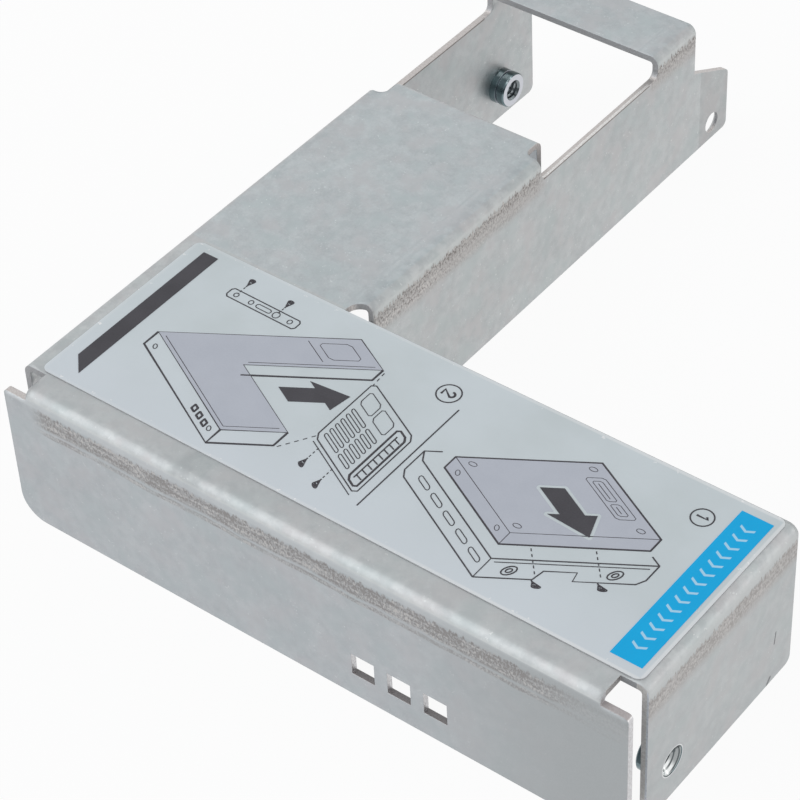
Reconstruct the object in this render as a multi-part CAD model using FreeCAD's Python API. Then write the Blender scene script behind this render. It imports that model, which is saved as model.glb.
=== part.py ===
import FreeCAD, Part
import math
import os

# Drive bay adapter bracket.
# It fills a 3.5 inch drive place and carries a 2.5 inch drive beside its leg.
# Millimetres. X runs along the front, Y from the front wall to the rear, Z up.
# While it is drawn, x = 0 is the left wall's outer face, y = 0 the front wall's outer face
# and z = 0 the plane that the wall edges stand on. The finished nodes are moved so that the
# origin is the middle of that standing plane.

Vector = FreeCAD.Vector
x_axis = Vector(1, 0, 0)
y_axis = Vector(0, 1, 0)
z_axis = Vector(0, 0, 1)

# Sheet
thickness = 1.0
bend_inside = 0.5

# Outline of the folded sheet
width = 101.6
height = 24.8
bar_depth = 37.8
leg_width = 32.0

# Front corners: ears of the front wall and the gap behind them
ear_width = 4.1
ear_gap = 3.3
ear_corner = 0.7
front_wall_corner = 4.0

# Small corner radii of the side walls
left_wall_corner = 1.2
end_wall_front_corner = 1.5
end_wall_rear_corner = 1.2
leg_wall_corner = 1.8
tab_top_corner = 1.3
tab_bottom_corner = 1.0

# Lamp windows in the front wall
lamp_window = 3.75
lamp_window_pitch = 5.85
lamp_window_count = 3
lamp_window_sill = 4.0
lamp_window_from_right = 27.5

# Relief hole where the bar, the leg and the leg's wall meet
relief_hole_radius = 2.1
relief_hole_inset = 0.9
relief_hole_setback = 0.4
leg_wall_gap = 2.2

# Rear flange of the leg's top, folded down between the walls
flange_from_front = 84.1
flange_side_gap = 3.1
flange_floor_gap = 2.9
flange_corner = 3.5
slot_depth = 4.3
slot_corner = 1.5

# Open window behind the flange and the strap that closes it
strap_width = 10.4
window_drop = 3.5
window_corner = 1.2

# Tab behind the strap
tab_front_height = 15.8
tab_rear_height = 10.9

# Drive standards: side holes are measured from the plane of the connectors
bay_hole_from_front = 10.0
bay_hole_from_connector = 28.5
bay_hole_pitch = 101.6
bay_hole_height = 6.35
bay_hole_margin = 9.0
drive_hole_from_connector = 14.0
drive_hole_pitch = 76.6
drive_hole_height = 3.0
drive_hole_margin = 4.3
drive_hole_radius = 1.75
drive_sink_radius = 2.3
drive_sink_depth = 0.5

# Round notch that lets a driver reach the front drive screw
notch_radius = 9.4
notch_rise = 1.4
notch_lip = 0.8

# Clinch standoffs
shank_radius = 2.6
barrel_radius = 2.9
barrel_length = 2.7
groove_depth = 0.45
groove_width = 0.35
groove_from_sheet = 1.1
bore_radius = 1.4
outer_mouth_radius = 2.2
outer_mouth_depth = 1.2
inner_mouth_radius = 1.75
inner_mouth_depth = 0.35
barrel_chamfer = 0.2

# Label film and its printed fields
film_thickness = 0.15
film_left_gap = 2.8
film_front_gap = 4.7
film_right_gap = 1.4
film_rear_gap = 0.2
film_corner = 1.2
ink_thickness = 0.05
grey_ink_thickness = 0.03
band_width = 4.7
band_from_right = 2.5
band_from_front = 6.5
band_from_rear = 1.9
bar_width = 2.6
bar_from_left = 5.1
bar_from_front = 6.9
bar_slope = 2.8
bar_from_rear = 1.8
arrow_halo = 0.45
drive_field_from_right = 42.6
drive_field_from_front = 23.0
drive_field_long = 19.0
drive_field_wide = 15.5
drive_field_side = 2.4
bracket_field_from_left = 11.0
bracket_field_from_front = 19.5
bracket_field_leg = 19.0
bracket_field_leg_width = 7.0
bracket_field_bar = 22.0
bracket_field_bar_width = 9.0
drive_arrow_offset = (13.5, 2.5)
drive_arrow_length = 10.0
bracket_arrow_offset = (22.0, 0.0)
bracket_arrow_length = 9.0
arrow_width = 3.2

# Worked out from the sizes above
bend_outside = thickness + bend_inside
relief_line = thickness + ear_gap
plate_bottom = height - thickness
wall_top = height - bend_outside
leg_wall_start = bar_depth + leg_wall_gap
slot_front = flange_from_front - slot_depth
window_sill = height - window_drop
bay_hole_front = bay_hole_from_front
bay_hole_rear = bay_hole_front + bay_hole_pitch
connector_plane = bay_hole_rear + bay_hole_from_connector
drive_hole_rear = connector_plane - drive_hole_from_connector
drive_hole_front = drive_hole_rear - drive_hole_pitch
body_length = bay_hole_rear + bay_hole_margin
strap_front = body_length - strap_width
length = drive_hole_rear + drive_hole_margin
drive_field_base = (width - drive_field_from_right, drive_field_from_front)
bracket_field_base = (bracket_field_from_left, bracket_field_from_front)
over = 2.0


def box(x0, x1, y0, y1, z0, z1):
    return Part.makeBox(x1 - x0, y1 - y0, z1 - z0, Vector(x0, y0, z0))


def edges_at(shape, direction, **where):
    # Straight edges along one axis that stand at the given coordinates.
    found = []
    for edge in shape.Edges:
        if len(edge.Vertexes) != 2:
            continue
        a = edge.Vertexes[0].Point
        b = edge.Vertexes[1].Point
        run = b - a
        if run.Length < 1e-6 or abs(abs(run.normalize().dot(direction)) - 1) > 1e-6:
            continue
        middle = (a + b) * 0.5
        if all(abs(getattr(middle, axis) - value) < 1e-4 for axis, value in where.items()):
            found.append(edge)
    return found


def rounded(shape, radius, direction, **where):
    found = edges_at(shape, direction, **where)
    if not found:
        raise ValueError("no edge to round at " + str(where))
    return shape.makeFillet(radius, found)


def arc(centre, radius, across, start, end):
    # Arc in the plane of z and the other axis, angles in degrees from that axis towards z.
    def at(angle):
        turn = math.radians(angle)
        return centre + across * (radius * math.cos(turn)) + z_axis * (radius * math.sin(turn))
    return Part.Arc(at(start), at((start + end) / 2), at(end)).toShape()


def wire_of(pieces):
    return Part.Face(Part.Wire(Part.__sortEdges__(pieces)))


def channel(right, y0, y1):
    # Top plate with a wall bent down on its left and right.
    left_centre = Vector(bend_outside, y0, wall_top)
    right_centre = Vector(right - bend_outside, y0, wall_top)

    def line(xa, za, xb, zb):
        return Part.makeLine(Vector(xa, y0, za), Vector(xb, y0, zb))
    section = wire_of([
        line(0, 0, 0, wall_top),
        arc(left_centre, bend_outside, x_axis, 180, 90),
        line(bend_outside, height, right - bend_outside, height),
        arc(right_centre, bend_outside, x_axis, 90, 0),
        line(right, wall_top, right, 0),
        line(right, 0, right - thickness, 0),
        line(right - thickness, 0, right - thickness, wall_top),
        arc(right_centre, bend_inside, x_axis, 0, 90),
        line(right - bend_outside, plate_bottom, bend_outside, plate_bottom),
        arc(left_centre, bend_inside, x_axis, 90, 180),
        line(thickness, wall_top, thickness, 0),
        line(thickness, 0, 0, 0),
    ])
    return section.extrude(Vector(0, y1 - y0, 0))


def angle_fold(x0, x1, face_y, plate_y, foot):
    # Plate from plate_y to a fold, and from there a flange whose outer face is at face_y.
    side = 1 if face_y > plate_y else -1
    centre = Vector(x0, face_y - side * bend_outside, wall_top)
    outward = y_axis * side

    def line(ya, za, yb, zb):
        return Part.makeLine(Vector(x0, ya, za), Vector(x0, yb, zb))
    bend_y = centre.y
    inner_y = face_y - side * thickness
    section = wire_of([
        line(plate_y, height, bend_y, height),
        arc(centre, bend_outside, outward, 90, 0),
        line(face_y, wall_top, face_y, foot),
        line(face_y, foot, inner_y, foot),
        line(inner_y, foot, inner_y, wall_top),
        arc(centre, bend_inside, outward, 0, 90),
        line(bend_y, plate_bottom, plate_y, plate_bottom),
        line(plate_y, plate_bottom, plate_y, height),
    ])
    return section.extrude(Vector(x1 - x0, 0, 0))


# Front wall, with its ears and lamp windows
def front_wall():
    wall = box(0, width, 0, thickness, 0, wall_top)
    wall = rounded(wall, front_wall_corner, y_axis, x=0, z=0)
    wall = rounded(wall, front_wall_corner, y_axis, x=width, z=0)
    wall = rounded(wall, ear_corner, y_axis, x=0, z=wall_top)
    wall = rounded(wall, ear_corner, y_axis, x=width, z=wall_top)
    fold = angle_fold(ear_width, width - ear_width, 0, relief_line, wall_top - front_wall_corner)
    wall = wall.fuse(fold)
    last = width - lamp_window_from_right
    for step in range(lamp_window_count):
        right = last - step * lamp_window_pitch
        hole = box(right - lamp_window, right, -over, thickness + over,
                   lamp_window_sill, lamp_window_sill + lamp_window)
        wall = wall.cut(hole)
    return wall


# Bar: full width, from the relief line to its rear edge
def bar():
    shape = channel(width, relief_line, bar_depth)
    shape = rounded(shape, left_wall_corner, x_axis, y=relief_line, z=0, x=thickness / 2)
    shape = rounded(shape, end_wall_front_corner, x_axis, y=relief_line, z=0, x=width - thickness / 2)
    shape = rounded(shape, end_wall_rear_corner, x_axis, y=bar_depth, z=0, x=width - thickness / 2)
    return shape


# Leg: channel with a window at the rear, closed by the strap
def leg():
    shape = channel(leg_width, bar_depth, body_length)
    front_of_wall = box(leg_width - bend_outside, leg_width + over, bar_depth - over, leg_wall_start,
                        -over, height + over)
    shape = shape.cut(front_of_wall)
    shape = rounded(shape, leg_wall_corner, x_axis, y=leg_wall_start, z=0)
    shape = rounded(shape, left_wall_corner, x_axis, y=body_length, z=0, x=thickness / 2)
    window = box(-over, leg_width + over, slot_front, strap_front, window_sill, height + over)
    window = rounded(window, window_corner, x_axis, y=slot_front, z=window_sill)
    window = rounded(window, window_corner, x_axis, y=strap_front, z=window_sill)
    shape = shape.cut(window)
    return shape.fuse(rear_flange())


def rear_flange():
    left = flange_side_gap
    right = leg_width - flange_side_gap
    shape = angle_fold(left, right, flange_from_front, slot_front - over, flange_floor_gap)
    shape = rounded(shape, flange_corner, y_axis, x=left, z=flange_floor_gap)
    return rounded(shape, flange_corner, y_axis, x=right, z=flange_floor_gap)


# Tab: the leg's right wall runs on behind the strap and slopes down
def tab():
    x0 = leg_width - thickness
    corners = [
        Vector(x0, body_length - over, 0),
        Vector(x0, length, 0),
        Vector(x0, length, tab_rear_height),
        Vector(x0, body_length, tab_front_height),
        Vector(x0, body_length - over, tab_front_height),
    ]
    face = Part.Face(Part.makePolygon(corners + corners[:1]))
    shape = face.extrude(Vector(thickness, 0, 0))
    shape = rounded(shape, tab_bottom_corner, x_axis, y=length, z=0)
    return rounded(shape, tab_top_corner, x_axis, y=length, z=tab_rear_height)


def round_slots(shape):
    # Material in the inner corners of the two slots beside the rear flange.
    for x in (flange_side_gap, leg_width - flange_side_gap):
        shape = rounded(shape, slot_corner, z_axis, x=x, y=slot_front)
    return shape


def access_notch():
    centre = Vector(-over, drive_hole_front, notch_rise)
    round_part = Part.makeCylinder(notch_radius, thickness + 2 * over, centre, x_axis)
    mouth = box(-over, thickness + over, drive_hole_front - notch_radius, drive_hole_front + notch_radius,
                -over, notch_rise)
    return round_part.fuse(mouth)


def drive_hole(y):
    hole = Part.makeCylinder(drive_hole_radius, thickness + 2 * over,
                             Vector(leg_width - thickness - over, y, drive_hole_height), x_axis)
    sink = Part.makeCone(drive_sink_radius, drive_hole_radius, drive_sink_depth,
                         Vector(leg_width - thickness, y, drive_hole_height), x_axis)
    return hole.fuse(sink)


def bay_hole(x, y):
    return Part.makeCylinder(shank_radius, thickness + 2 * over,
                             Vector(x - over, y, bay_hole_height), x_axis)


def folded_bracket():
    shape = bar().fuse([front_wall(), leg(), tab()]).removeSplitter()
    shape = round_slots(shape)
    relief = Part.makeCylinder(relief_hole_radius, thickness * 4,
                               Vector(leg_width - relief_hole_inset, bar_depth + relief_hole_setback,
                                      height - thickness * 3), z_axis)
    shape = shape.cut(relief)
    shape = shape.cut(access_notch())
    for side in (-1, 1):
        shape = rounded(shape, notch_lip, x_axis, y=drive_hole_front + side * notch_radius, z=0)
    cuts = [drive_hole(drive_hole_front), drive_hole(drive_hole_rear)]
    cuts += [bay_hole(0, bay_hole_front), bay_hole(0, bay_hole_rear)]
    cuts += [bay_hole(width - thickness, bay_hole_front)]
    for cutter in cuts:
        shape = shape.cut(cutter)
    return shape.removeSplitter()


# Clinch standoff: shank in the sheet, flush outside, barrel inside, tapped through
def standoff(outer_x, y, inward):
    start = -over
    groove_start = thickness + groove_from_sheet
    groove_end = groove_start + groove_width
    end = thickness + barrel_length
    shank = Part.makeCylinder(shank_radius, thickness)
    foot = Part.makeCylinder(barrel_radius, groove_start - thickness, Vector(0, 0, thickness))
    neck = Part.makeCylinder(barrel_radius - groove_depth, groove_width, Vector(0, 0, groove_start))
    head = Part.makeCylinder(barrel_radius, end - groove_end - barrel_chamfer, Vector(0, 0, groove_end))
    rim = Part.makeCone(barrel_radius, barrel_radius - barrel_chamfer, barrel_chamfer,
                        Vector(0, 0, end - barrel_chamfer))
    shape = shank.fuse([foot, neck, head, rim])
    bore = Part.makeCylinder(bore_radius, end + 2 * over, Vector(0, 0, start))
    outer_mouth = Part.makeCone(outer_mouth_radius, bore_radius, outer_mouth_depth)
    inner_mouth = Part.makeCone(bore_radius, inner_mouth_radius, inner_mouth_depth,
                                Vector(0, 0, end - inner_mouth_depth))
    shape = shape.cut(bore).cut(outer_mouth).cut(inner_mouth).removeSplitter()
    shape.rotate(Vector(0, 0, 0), y_axis, 90 * inward)
    shape.translate(Vector(outer_x, y, bay_hole_height))
    return shape


# Label film on the bar, and its printed fields on the film
film_x0 = film_left_gap
film_x1 = width - film_right_gap
film_y0 = film_front_gap
film_y1 = bar_depth - film_rear_gap
film_top = height + film_thickness


def label_film():
    film = box(film_x0, film_x1, film_y0, film_y1, height, film_top)
    for x in (film_x0, film_x1):
        for y in (film_y0, film_y1):
            film = rounded(film, film_corner, z_axis, x=x, y=y)
    return film


def field(points):
    corners = [Vector(x, y, film_top) for x, y in points]
    return Part.Face(Part.makePolygon(corners + corners[:1]))


def inked(face, depth=ink_thickness):
    return face.extrude(Vector(0, 0, depth))


def slanted(base, deep, wide):
    # A point of the sketches: both plan directions are drawn aslant.
    deep_step = (0.85, 0.52)
    wide_step = (0.89, -0.46)
    x = base[0] + deep * deep_step[0] + wide * wide_step[0]
    y = base[1] + deep * deep_step[1] + wide * wide_step[1]
    return x, y


def arrow(tail, reach, deep):
    # It points along the sketches' deep direction, or else along their wide one.
    half = arrow_width / 2
    neck = reach * 0.55
    outline = [(-half, 0), (-half, neck), (-arrow_width, neck), (0, reach),
               (arrow_width, neck), (half, neck), (half, 0)]
    if deep:
        return field([slanted(tail, along, across) for across, along in outline])
    return field([slanted(tail, across, along) for across, along in outline])


def drive_arrow():
    tail = (drive_field_base[0] + drive_arrow_offset[0], drive_field_base[1] + drive_arrow_offset[1])
    return arrow(tail, drive_arrow_length, False)


def bracket_arrow():
    tail = (bracket_field_base[0] + bracket_arrow_offset[0],
            bracket_field_base[1] + bracket_arrow_offset[1])
    return arrow(tail, bracket_arrow_length, True)


def drive_field():
    # A slab seen aslant: its top, and the two sides that drop from the near edges.
    left = slanted(drive_field_base, 0, 0)
    far = slanted(drive_field_base, drive_field_long, 0)
    right = slanted(drive_field_base, drive_field_long, drive_field_wide)
    near = slanted(drive_field_base, 0, drive_field_wide)
    low = [(x, y - drive_field_side) for x, y in (right, near, left)]
    return field([left, far, right] + low)


def bracket_field():
    leg_end = bracket_field_leg + bracket_field_bar_width
    outline = [(0, 0), (leg_end, 0), (leg_end, bracket_field_leg_width),
               (bracket_field_bar_width, bracket_field_leg_width),
               (bracket_field_bar_width, bracket_field_bar), (0, bracket_field_bar)]
    return field([slanted(bracket_field_base, a, b) for a, b in outline])


def label_print_dark():
    x0 = bar_from_left
    x1 = bar_from_left + bar_width
    rear = bar_depth - bar_from_rear
    strip = field([(x0, bar_from_front + bar_slope), (x1, bar_from_front), (x1, rear), (x0, rear)])
    return Part.makeCompound([inked(strip), inked(drive_arrow()), inked(bracket_arrow())])


def label_print_grey():
    halo = drive_arrow().makeOffset2D(arrow_halo)
    return Part.makeCompound([inked(drive_field().cut(halo), grey_ink_thickness),
                              inked(bracket_field(), grey_ink_thickness)])


def label_print_blue():
    x1 = width - band_from_right
    return inked(field([(x1 - band_width, band_from_front), (x1, band_from_front),
                        (x1, bar_depth - band_from_rear), (x1 - band_width, bar_depth - band_from_rear)]))


nodes = {
    "folded_bracket": folded_bracket(),
    "standoff_front_left": standoff(0, bay_hole_front, 1),
    "standoff_rear_left": standoff(0, bay_hole_rear, 1),
    "standoff_front_right": standoff(width, bay_hole_front, -1),
    "label_film": label_film(),
    "label_print_dark": label_print_dark(),
    "label_print_grey": label_print_grey(),
    "label_print_blue": label_print_blue(),
}

os.makedirs("parts", exist_ok=True)
for name, shape in nodes.items():
    placed = shape.copy()
    placed.translate(Vector(-width / 2, -length / 2, 0))
    placed.exportStep("parts/" + name + ".step")
    print(name, "valid", placed.isValid(), "solids", len(placed.Solids), "volume", round(placed.Volume, 2))
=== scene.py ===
import math

import bpy
from mathutils import Matrix, Vector


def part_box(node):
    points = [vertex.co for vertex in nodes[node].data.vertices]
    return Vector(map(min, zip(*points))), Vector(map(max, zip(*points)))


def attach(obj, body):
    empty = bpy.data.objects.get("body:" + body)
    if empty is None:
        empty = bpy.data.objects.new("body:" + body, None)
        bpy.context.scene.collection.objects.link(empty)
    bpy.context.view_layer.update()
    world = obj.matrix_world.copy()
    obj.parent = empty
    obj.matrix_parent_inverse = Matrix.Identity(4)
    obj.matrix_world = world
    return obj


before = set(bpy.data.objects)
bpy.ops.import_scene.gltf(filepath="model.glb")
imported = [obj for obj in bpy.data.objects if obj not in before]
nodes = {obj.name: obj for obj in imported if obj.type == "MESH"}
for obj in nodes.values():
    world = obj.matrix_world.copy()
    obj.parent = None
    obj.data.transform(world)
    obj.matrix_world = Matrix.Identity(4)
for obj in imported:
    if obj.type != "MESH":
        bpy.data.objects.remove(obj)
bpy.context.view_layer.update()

scene = bpy.context.scene
mm = 0.001


# View, stage and light

viewSettings = {
    "place": (0.175237, -0.253710, 0.282534),
    "right": (0.79205189, 0.60903865, -0.04154185),
    "forward": (-0.47123377, 0.56673974, -0.67582897),
    "lens": 129.769,
    "sensor": 36.0,
}


def addView(s):
    right = Vector(s["right"]).normalized()
    forward = Vector(s["forward"]).normalized()
    up = right.cross(forward).normalized()
    turn = Matrix((right, up, -forward)).transposed().to_4x4()
    data = bpy.data.cameras.new("viewCamera")
    data.sensor_fit = "HORIZONTAL"
    data.sensor_width = s["sensor"]
    data.lens = s["lens"]
    data.clip_start = 0.01
    data.clip_end = 20
    camera = bpy.data.objects.new("viewCamera", data)
    scene.collection.objects.link(camera)
    camera.matrix_world = Matrix.Translation(s["place"]) @ turn
    scene.camera = camera


def deselect():
    if bpy.context.mode != "OBJECT":
        bpy.ops.object.mode_set(mode="OBJECT")
    bpy.ops.object.select_all(action="DESELECT")


def feed(socket, value):
    # Links another node's output to an input, or sets it to a number, a vector or a colour.
    if isinstance(value, bpy.types.NodeSocket):
        socket.id_data.links.new(value, socket)
    elif socket.type == "RGBA":
        socket.default_value = (*value, 1.0)
    else:
        socket.default_value = value


def setUp(node, **values):
    # Values are the node's settings and inputs.
    for name, value in values.items():
        if hasattr(node, name):
            setattr(node, name, value)
        else:
            feed(node.inputs[name.replace("_", " ")], value)
    return node


def addNode(tree, kind, **values):
    # The new node stands beside the last one, twelve to a row.
    count = len(tree.nodes)
    node = tree.nodes.new(kind)
    node.location = (count % 12 * 190, count // 12 * -260)
    return setUp(node, **values)


def treeOf(values):
    return next(value.id_data for value in values if isinstance(value, bpy.types.NodeSocket))


def calc(operation, *values, clamp=False):
    # One maths step. Each value is a number or a socket, and at least one is a socket.
    node = addNode(treeOf(values), "ShaderNodeMath", operation=operation, use_clamp=clamp)
    for socket, value in zip(node.inputs, values):
        feed(socket, value)
    return node.outputs[0]


def times(first, *others):
    for value in others:
        first = calc("MULTIPLY", first, value)
    return first


def plus(start, value, share):
    # The start with a share of the value added.
    return calc("MULTIPLY_ADD", value, share, start)


def minus(a, b):
    return calc("SUBTRACT", a, b)


def inverse(value):
    return minus(1.0, value)


def most(first, *others):
    for value in others:
        first = calc("MAXIMUM", first, value)
    return first


def least(a, b):
    return calc("MINIMUM", a, b)


def isAbove(value, limit):
    return calc("GREATER_THAN", value, limit)


def isBelow(value, limit):
    return calc("LESS_THAN", value, limit)


def isNear(value, middle, reach):
    return calc("COMPARE", value, middle, reach)


def awayFrom(value, middle=None):
    # How far a value lies from the middle, or from 0.
    return calc("ABSOLUTE", value if middle is None else minus(value, middle))


def mixColour(share, a, b, blend="MIX"):
    # a where the share is 0, b where it is 1.
    node = addNode(treeOf((share, a, b)), "ShaderNodeMix", data_type="RGBA", blend_type=blend)
    for slot, value in ((0, share), (6, a), (7, b)):
        feed(node.inputs[slot], value)
    return node.outputs[2]


def mixValue(share, a, b):
    node = addNode(treeOf((share, a, b)), "ShaderNodeMix", data_type="FLOAT")
    for slot, value in ((0, share), (2, a), (3, b)):
        feed(node.inputs[slot], value)
    return node.outputs[0]


def ramp(value, low, high, bottom=0.0, top=1.0):
    # A smooth step from bottom to top while the value goes from low to high.
    node = addNode(value.id_data, "ShaderNodeMapRange", interpolation_type="SMOOTHSTEP", Value=value,
                   From_Min=low, From_Max=high, To_Min=bottom, To_Max=top)
    return node.outputs["Result"]


def fall(value, low, high, start=1.0):
    # The same downwards, from the start to 0.
    return ramp(value, low, high, start, 0.0)


def partsOf(vector):
    # Its x, y and z.
    return addNode(vector.id_data, "ShaderNodeSeparateXYZ", Vector=vector).outputs


def newGroup(name, inputs, outputs):
    # An input whose default is a number takes numbers, any other takes vectors. Outputs are numbers.
    group = bpy.data.node_groups.new(name, "ShaderNodeTree")
    for label, value in inputs.items():
        kind = "NodeSocketFloat" if isinstance(value, float) else "NodeSocketVector"
        group.interface.new_socket(label, in_out="INPUT", socket_type=kind).default_value = value
    for label in outputs:
        group.interface.new_socket(label, in_out="OUTPUT", socket_type="NodeSocketFloat")
    return group, addNode(group, "NodeGroupInput").outputs, addNode(group, "NodeGroupOutput").inputs


def placeGroup(group, **values):
    return addNode(treeOf(values.values()), "ShaderNodeGroup", node_tree=group, **values).outputs


def seenDirectly(tree):
    # 1 for what the camera sees, also in a mirror or through glass, 0 for light on its way to a surface.
    path = addNode(tree, "ShaderNodeLightPath").outputs
    return most(path["Is Camera Ray"], path["Is Glossy Ray"], path["Is Transmission Ray"])


floorSettings = {
    "size": 6.0,
    "colour": (0.86, 0.86, 0.86),
    "mottle": (0.8471, 0.8471, 0.8471),
    "white": 0.93,       # share of plain white that the camera and the metal see
    "drop": 0.00002,
}


def addFloor(s):
    deselect()
    bpy.ops.mesh.primitive_plane_add(size=s["size"], location=(0, 0, -s["drop"]))
    floor = bpy.context.object
    floor.name = "paleFloor"
    bpy.ops.object.transform_apply(location=True)
    material = bpy.data.materials.new("paleFloor")
    material.use_nodes = True
    tree = material.node_tree
    tree.nodes.clear()
    spot = addNode(tree, "ShaderNodeTexCoord").outputs["Object"]
    noise = addNode(tree, "ShaderNodeTexNoise", Vector=spot, Scale=30.0, Detail=3.0)
    grey = mixColour(noise.outputs["Fac"], s["colour"], s["mottle"])
    matt = addNode(tree, "ShaderNodeBsdfDiffuse", Color=grey)
    glow = addNode(tree, "ShaderNodeEmission", Strength=1.0)
    both = addNode(tree, "ShaderNodeMixShader", Fac=times(seenDirectly(tree), s["white"]))
    feed(both.inputs[1], matt.outputs[0])
    feed(both.inputs[2], glow.outputs[0])
    addNode(tree, "ShaderNodeOutputMaterial", Surface=both.outputs[0])
    floor.data.materials.append(material)


worldSettings = {"colour": (0.97, 0.985, 1.0), "strength": 0.64, "seen": 1.0}

lampSettings = [
    # name, place, target, width, depth, power, colour
    ("frontBox", (-0.62, -1.00, 0.75), (0.0, -0.02, 0.01), 1.50, 2.10, 8.0, (0.985, 1.0, 1.015)),
    ("rearBox", (1.10, 0.81, 0.16), (0.0, 0.0, 0.01), 1.50, 0.80, 3.1, (1.0, 0.980, 0.950)),
]


def addLight(world, lamps):
    sky = scene.world or bpy.data.worlds.new("studio")
    scene.world = sky
    sky.use_nodes = True
    tree = sky.node_tree
    tree.nodes.clear()
    seen = seenDirectly(tree)
    back = addNode(tree, "ShaderNodeBackground", Color=mixColour(seen, world["colour"], (1.0, 1.0, 1.0)),
                   Strength=plus(world["strength"], seen, world["seen"] - world["strength"]))
    addNode(tree, "ShaderNodeOutputWorld", Surface=back.outputs[0])
    for name, place, target, width, depth, power, colour in lamps:
        data = bpy.data.lights.new(name, "AREA")
        data.shape = "RECTANGLE"
        data.size = width
        data.size_y = depth
        data.energy = power
        data.color = colour
        lamp = bpy.data.objects.new(name, data)
        scene.collection.objects.link(lamp)
        aim = Vector(target) - Vector(place)
        lamp.matrix_world = Matrix.Translation(place) @ aim.to_track_quat("-Z", "Y").to_matrix().to_4x4()


addView(viewSettings)
addFloor(floorSettings)
addLight(worldSettings, lampSettings)
scene.view_settings.view_transform = "Standard"
print("view, floor and light are set")


# Effects that several materials share
origin = (0.0, 0.0, 0.0)


def makeGrain():
    # Soft clouds and a fine grain, both from 0 to 1, at sizes given in metres.
    group, given, result = newGroup(
        "softGrain", {"Position": origin, "Cloud Size": 0.003, "Grain Size": 0.0003}, ["Cloud", "Grain"])
    for name, detail in (("Cloud", 4.0), ("Grain", 2.0)):
        noise = addNode(group, "ShaderNodeTexNoise", Vector=given["Position"], Detail=detail, Roughness=0.55,
                        Scale=calc("DIVIDE", 1.0, given[name + " Size"]))
        feed(result[name], ramp(noise.outputs["Fac"], 0.28, 0.72))
    return group


def makeScratch():
    # 1 on a straight mark between two points, 0 away from it.
    group, given, result = newGroup(
        "scratchMark", {"Position": origin, "From": origin, "To": (0.0, 0.0, 0.001), "Width": 0.0001}, ["Mask"])

    def vector(operation, *values):
        node = addNode(group, "ShaderNodeVectorMath", operation=operation)
        for slot, value in zip((0, "Scale" if operation == "SCALE" else 1), values):
            feed(node.inputs[slot], value)
        return node.outputs["Value" if operation in ("DOT_PRODUCT", "LENGTH") else "Vector"]

    offset = vector("SUBTRACT", given["Position"], given["From"])
    run = vector("SUBTRACT", given["To"], given["From"])
    share = calc("DIVIDE", vector("DOT_PRODUCT", offset, run), vector("DOT_PRODUCT", run, run), clamp=True)
    away = vector("SUBTRACT", offset, vector("SCALE", run, share))
    feed(result["Mask"], fall(calc("DIVIDE", vector("LENGTH", away), given["Width"]), 0.5, 1.0))
    return group


softGrain = makeGrain()
scratchMark = makeScratch()


def startMaterial(name):
    # The material, its shader, and the place and facing of the point that it colours.
    material = bpy.data.materials.new(name)
    material.use_nodes = True
    tree = material.node_tree
    tree.nodes.clear()
    place = addNode(tree, "ShaderNodeTexCoord").outputs
    shader = addNode(tree, "ShaderNodeBsdfPrincipled")
    addNode(tree, "ShaderNodeOutputMaterial", Surface=shader.outputs[0])
    return material, shader, place["Object"], place["Normal"]


def grainOf(spot, cloud, grain):
    made = placeGroup(softGrain, Position=spot, Cloud_Size=cloud, Grain_Size=grain)
    return made["Cloud"], made["Grain"]


def roughOf(s, grain):
    low, high = s["roughness"]
    return plus(low, grain, high - low)


def bumpOf(height, strength, distance, **normal):
    bump = addNode(height.id_data, "ShaderNodeBump", Height=height, Strength=strength,
                   Distance=distance, **normal)
    return bump.outputs[0]


def softened(tree, samples, radius):
    # Normals rounded over the edges.
    return addNode(tree, "ShaderNodeBevel", samples=samples, Radius=radius).outputs[0]


# Galvanised sheet

# Where the sheet lies and how thick it is, in metres
sheet = {
    "left": -0.0508,              # x of the outer face of the long wall,
    "legRight": -0.0188,          # of the leg's right wall
    "right": 0.0508,              # and of the end wall
    "front": -0.0652,             # y of the outer face of the front wall
    "flange": 0.0189,             # and of the rear flange
    "top": 0.0248,
    "half": 0.0005,               # half the thickness
    "skin": 0.0003,               # a face is told by its place to within this much
    "barEnd": -0.0270,            # y where the bar gives way to the leg
    "window": (0.0290, 0.0138),   # middle and half length, in y, of the open window in the leg
    "sill": (0.02096, 0.02112),   # z over which the dark line below the window begins
    "tab": 0.0573,                # y where the tab begins
    "endWall": (0.045, 0.048),    # x over which the end wall is told from the others
}

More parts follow.
